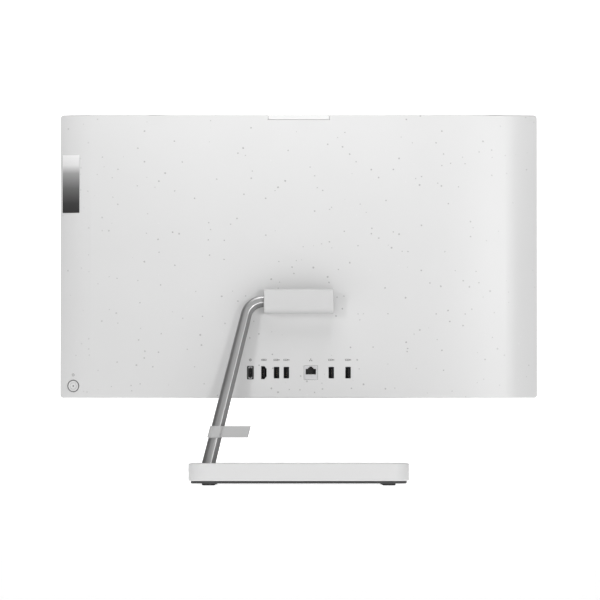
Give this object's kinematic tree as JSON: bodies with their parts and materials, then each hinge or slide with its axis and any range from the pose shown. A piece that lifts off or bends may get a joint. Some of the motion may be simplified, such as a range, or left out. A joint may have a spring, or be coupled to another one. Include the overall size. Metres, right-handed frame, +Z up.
{
  "type": "all in one pc",
  "caption": "Desktop all-in-one computer: slim white speckled display housing with rear sockets, tilting on a bent metal arm over a weighted white base.",
  "frame": {"origin": "on the desk, under the middle of the base", "axes": "+Z up, the screen faces -Y, the sockets face +Y, +X to the right seen from the front"},
  "size_m": [0.54, 0.185, 0.4203],
  "materials": {
    "speckled_white": "fine texture with sparse grey flecks",
    "plain_white": "satin",
    "base_white": "satin",
    "glossy_black": "gloss",
    "screen_glass": "anti-glare",
    "tray_white": "satin",
    "arm_metal": "brushed lengthwise",
    "clip_grey": "satin",
    "skirt_black": "fine texture",
    "foot_rubber": "matte",
    "badge_metal": "polished, light at the top and dark at the bottom",
    "sheet_steel": "zinc plated",
    "socket_black": "black nickel",
    "socket_steel": "nickel plated",
    "inlet_grey": "satin",
    "button_white": "satin",
    "ring_metal": "satin",
    "light_lens": "gloss",
    "board_green": "solder mask",
    "part_black": "moulded",
    "copper": "plain",
    "fin_metal": "plain",
    "cable_grey": "flat cable",
    "cell_steel": "plain"
  },
  "bodies": {
    "stand": {"base_cover": "base_white", "base_weight": "sheet_steel", "base_bottom_plate": "skirt_black", "base_screws": "sheet_steel", "base_feet": "foot_rubber", "arm": "arm_metal", "arm_foot_plate": "sheet_steel", "arm_foot_screws": "sheet_steel", "stand_screw": "sheet_steel", "cable_clip": "clip_grey", "hinge_shaft": "sheet_steel", "friction_washers": "sheet_steel", "lock_nut": "sheet_steel"},
    "display": {"rear_cover": "speckled_white", "badge": "badge_metal", "camera_rear_cover": "plain_white", "front_frame": "plain_white", "chin_panel": "plain_white", "screen_bezel": "glossy_black", "lcd_screen": "screen_glass", "backlight_tray": "tray_white", "lcd_side_brackets": "sheet_steel", "camera_module": "part_black", "usb_port_1": "socket_black", "usb_port_2": "socket_black", "usb_port_3": "socket_black", "usb_port_4": "socket_black", "hdmi_port": "socket_black", "power_inlet": "inlet_grey", "ethernet_port": "socket_steel", "audio_jack": "part_black", "power_button_ring": "ring_metal", "button_board": "board_green", "chassis_plate": "sheet_steel", "motherboard": "board_green", "board_screws": "sheet_steel", "board_standoffs": "sheet_steel", "processor": "cell_steel", "cooling_plate": "copper", "heat_pipe": "copper", "fin_stack": "fin_metal", "blower_housing": "part_black", "memory_modules": "board_green", "memory_sockets": "part_black", "solid_state_drive": "board_green", "wireless_card": "board_green", "clock_cell": "cell_steel", "hard_drive": "fin_metal", "drive_caddy": "sheet_steel", "speaker_left": "part_black", "speaker_right": "part_black", "display_cable": "cable_grey", "panel_drive_board": "board_green", "hinge_bracket": "sheet_steel", "hinge_bracket_screws": "sheet_steel", "hinge_cover": "plain_white"},
    "impeller": {"blower_impeller": "part_black"},
    "button": {"power_button": "button_white", "power_light": "light_lens"},
    "shutter": {"camera_shutter": "plain_white"}
  },
  "joints": [
    {"name": "display_tilt", "type": "hinge", "parent": "stand", "child": "display", "pos_m": [0, 0.02, 0.207], "axis": [-1, 0, 0], "range_deg": [-5, 15]},
    {"name": "blower_spin", "type": "hinge", "parent": "display", "child": "impeller", "pos_m": [-0.128, -0.007, 0.342], "axis": [0, 1, 0], "continuous": true},
    {"name": "power_button_press", "type": "slide", "parent": "display", "child": "button", "axis": [-0.3189, -0.9478, 0], "range_m": [0, 0.0008], "stiffness_N_per_m": 900},
    {"name": "shutter_slide", "type": "slide", "parent": "display", "child": "shutter", "axis": [1, 0, 0], "range_m": [0, 0.0096]}
  ]
}
